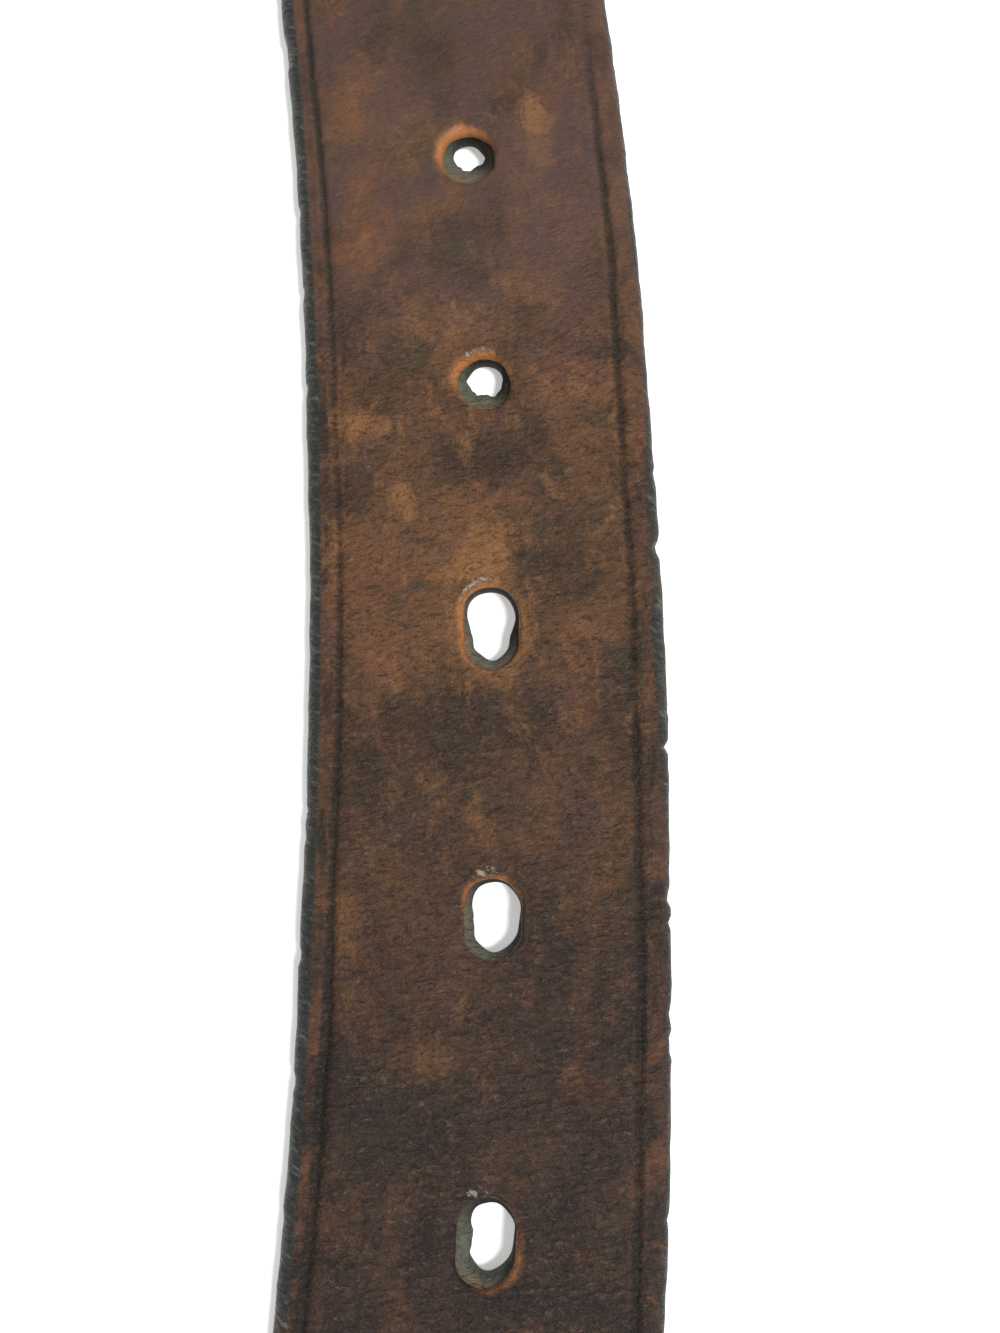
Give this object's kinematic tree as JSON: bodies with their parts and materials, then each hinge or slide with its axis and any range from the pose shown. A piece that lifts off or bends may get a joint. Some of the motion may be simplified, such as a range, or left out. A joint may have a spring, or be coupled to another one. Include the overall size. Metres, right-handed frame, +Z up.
{
  "type": "leather strop",
  "caption": "Hanging leather strop made of a holed belt strap, with a keeper and a roller buckle on its folded end.",
  "frame": {"origin": "on the surface that the strop lies on, under the middle of the overall box", "axes": "+Y along the strop towards its free, holed end, +Z up out of the grain side, +X to the right of someone looking towards the free end"},
  "size_m": [0.0474, 0.5713, 0.0142],
  "materials": {
    "strap_leather": "old oiled harness leather, mottled dark brown with tan wear and black burnished edges",
    "keeper_leather": "thin dark brown strap leather, rubbed on its corners",
    "buckle_brass": "cast brass, tarnished brown with rubbed high spots",
    "roller_brass": "rolled brass sheet, polished by the strap",
    "screw_brass": "turned brass, tarnished",
    "staple_steel": "dull steel wire"
  },
  "bodies": {
    "strap": {"strap": "strap_leather", "chicago_post_1": "screw_brass", "chicago_post_2": "screw_brass", "chicago_screw_1": "screw_brass", "chicago_screw_2": "screw_brass"},
    "buckle": {"buckle_frame": "buckle_brass"},
    "prong": {"buckle_prong": "buckle_brass"},
    "roller": {"buckle_roller": "roller_brass"},
    "keeper": {"keeper_loop": "keeper_leather", "keeper_staple": "staple_steel"}
  },
  "joints": [
    {"name": "buckle_swing", "type": "hinge", "parent": "strap", "child": "buckle", "pos_m": [-0.0032, -0.2504, 0.0041], "axis": [-1, 0, 0], "range_deg": [-45, 45]},
    {"name": "prong_swing", "type": "hinge", "parent": "buckle", "child": "prong", "pos_m": [-0.0032, -0.2504, 0.0041], "axis": [-1, 0, 0], "range_deg": [0, 80]},
    {"name": "roller_spin", "type": "hinge", "parent": "buckle", "child": "roller", "pos_m": [-0.0032, -0.2804, 0.0041], "axis": [1, 0, 0], "continuous": true},
    {"name": "keeper_slide", "type": "slide", "parent": "strap", "child": "keeper", "axis": [0, 1, 0], "range_m": [-0.0024, 0.0024]}
  ]
}
